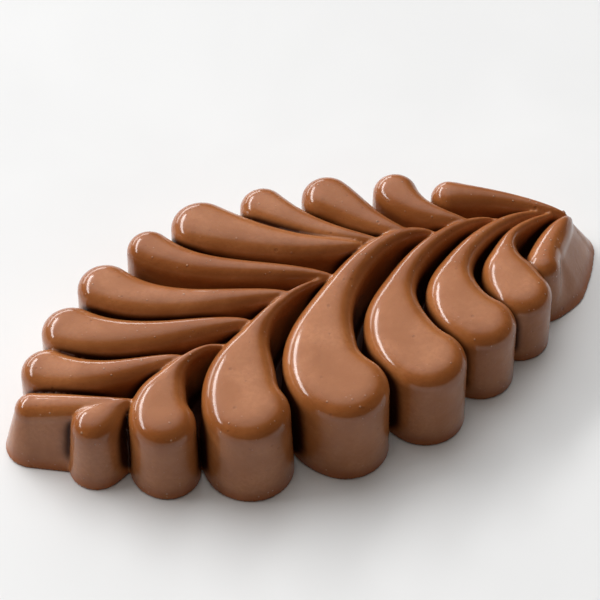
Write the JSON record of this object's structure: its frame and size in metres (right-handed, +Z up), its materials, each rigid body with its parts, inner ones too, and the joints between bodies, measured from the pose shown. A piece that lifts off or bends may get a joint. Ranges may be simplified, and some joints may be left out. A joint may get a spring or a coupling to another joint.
{
  "type": "moulded chocolate mousse leaf",
  "caption": "Single-portion chocolate mousse turned out of a leaf mould: comma-shaped lobes in two rows whose tails meet along a central vein, on a flat base.",
  "frame": {"origin": "centre of the bounding box in plan, on the flat base", "axes": "+X along the leaf towards its pointed end, +Y towards the row of slimmer lobes, +Z up out of the base"},
  "size_m": [0.1318, 0.067, 0.0205],
  "materials": {
    "mousse": "set chocolate mousse: smooth mid-brown, satin to glossy on the rounded top edges, paler on the tops and darker in the grooves"
  },
  "bodies": {
    "root": {"mousse": "mousse"}
  },
  "joints": []
}
